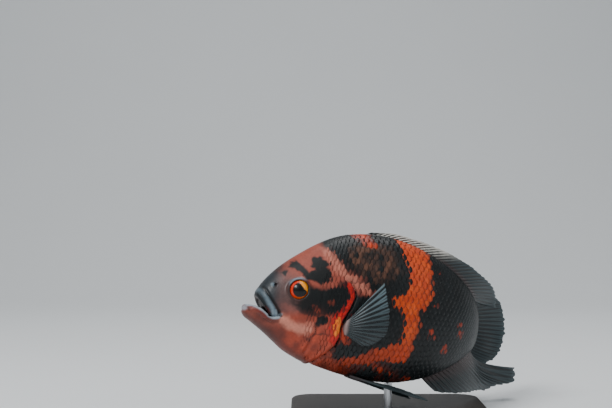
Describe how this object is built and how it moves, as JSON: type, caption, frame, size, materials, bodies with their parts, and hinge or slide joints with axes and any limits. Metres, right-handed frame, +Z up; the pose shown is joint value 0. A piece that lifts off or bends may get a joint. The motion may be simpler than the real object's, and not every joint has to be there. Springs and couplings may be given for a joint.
{
  "type": "oscar fish model",
  "caption": "Life-size still model of an oscar fish in a turning swim, with spread fins, held over a flat base by one short rod.",
  "frame": {"origin": "centre of the stand base's underside", "axes": "+Z up, head towards -X, the fish's left side towards -Y"},
  "size_m": [0.2268, 0.1542, 0.1437],
  "materials": {
    "fish_skin": "satin, wet-looking skin",
    "fish_fin": "thin webs between rays, satin",
    "fish_eye": "glossy cornea over an orange iris",
    "stand_base": "black-stained, satin",
    "stand_rod": "brushed"
  },
  "bodies": {
    "root": {"head": "fish_skin", "lower_jaw": "fish_skin", "gill_cover_left": "fish_skin", "gill_cover_right": "fish_skin", "trunk": "fish_skin", "tail_stalk": "fish_skin", "eye_left": "fish_eye", "eye_right": "fish_eye", "dorsal_fin": "fish_fin", "anal_fin": "fish_fin", "caudal_fin": "fish_fin", "pectoral_fin_left": "fish_fin", "pectoral_fin_right": "fish_fin", "pelvic_fin_left": "fish_fin", "pelvic_fin_right": "fish_fin", "stand_base": "stand_base", "stand_rod": "stand_rod"}
  },
  "joints": []
}
